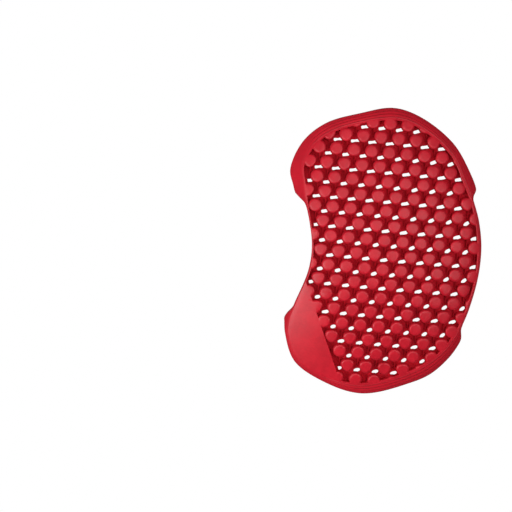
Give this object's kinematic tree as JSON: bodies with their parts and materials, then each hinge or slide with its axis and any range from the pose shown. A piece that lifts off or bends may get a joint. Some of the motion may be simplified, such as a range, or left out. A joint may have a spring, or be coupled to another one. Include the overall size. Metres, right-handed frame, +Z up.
{
  "type": "hip protector",
  "caption": "Domed, kidney-shaped soft hip guard with a rounded border, a smooth corner panel and staggered flat-topped studs on a pierced web.",
  "frame": {"origin": "on the ground, under the middle of the pad's box, with the pad lying studs up on its rim", "axes": "+X across the pad towards its bulging side, +Y along the pad towards its broad upper end, +Z up out of the studded face"},
  "size_m": [0.137, 0.1994, 0.0287],
  "materials": {
    "elastomer": "matte, soft moulded elastomer, dyed red through"
  },
  "bodies": {
    "root": {"hip_pad": "elastomer"}
  },
  "joints": []
}
